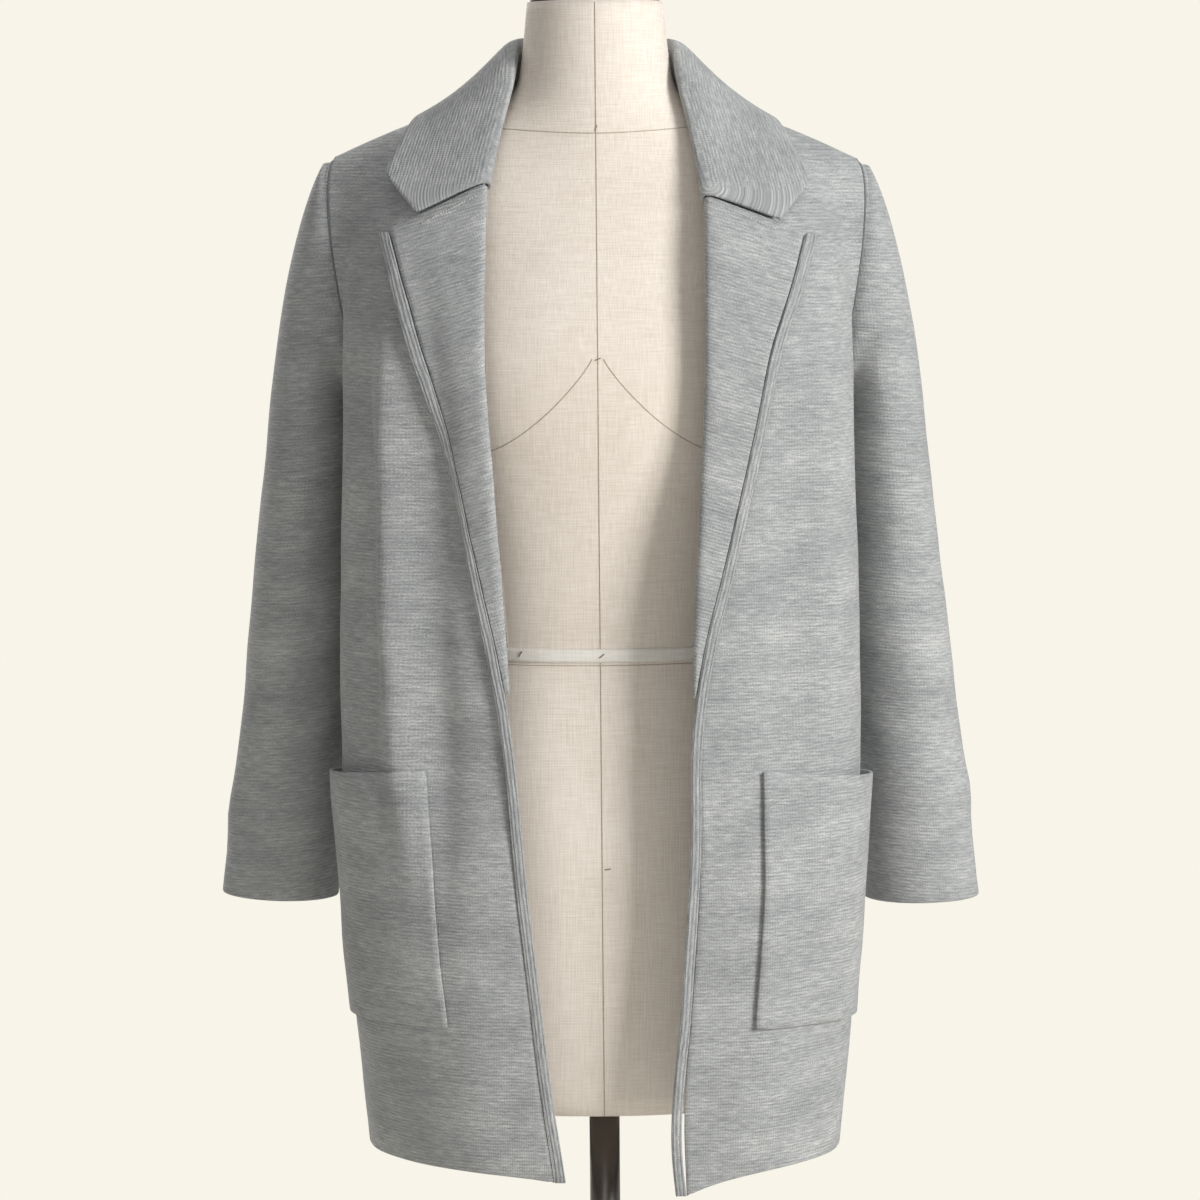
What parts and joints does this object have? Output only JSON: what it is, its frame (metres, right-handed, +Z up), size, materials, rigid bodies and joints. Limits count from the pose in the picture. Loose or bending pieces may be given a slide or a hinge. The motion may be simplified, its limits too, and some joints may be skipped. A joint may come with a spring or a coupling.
{
  "type": "open knit blazer on a dress form with a pole stand",
  "caption": "Open longline knit blazer with notched collar and patch pockets, worn on a limbless linen dress form that stands on a metal pole and round base.",
  "frame": {"origin": "on the floor under the pole's axis", "axes": "+Z up, the front of the blazer faces -Y, the wearer's left is +X"},
  "size_m": [0.5736, 0.38, 1.5293],
  "materials": {
    "knit": "heather grey double knit, matte, slightly fuzzy",
    "band_knit": "heather grey ribbed band, matte",
    "linen": "natural plain weave linen, matte",
    "cotton": "white cotton tape",
    "dark_steel": "dark semi-gloss"
  },
  "bodies": {
    "root": {"back": "knit", "collar": "knit", "front_left": "knit", "sleeve_left": "knit", "lapel_left": "knit", "edge_band_left": "band_knit", "pocket_left": "knit", "front_right": "knit", "sleeve_right": "knit", "lapel_right": "knit", "edge_band_right": "band_knit", "pocket_right": "knit", "form_torso": "linen", "form_waist_tape": "cotton", "form_neck_cap": "dark_steel", "stand_pole": "dark_steel", "stand_base": "dark_steel"}
  },
  "joints": []
}
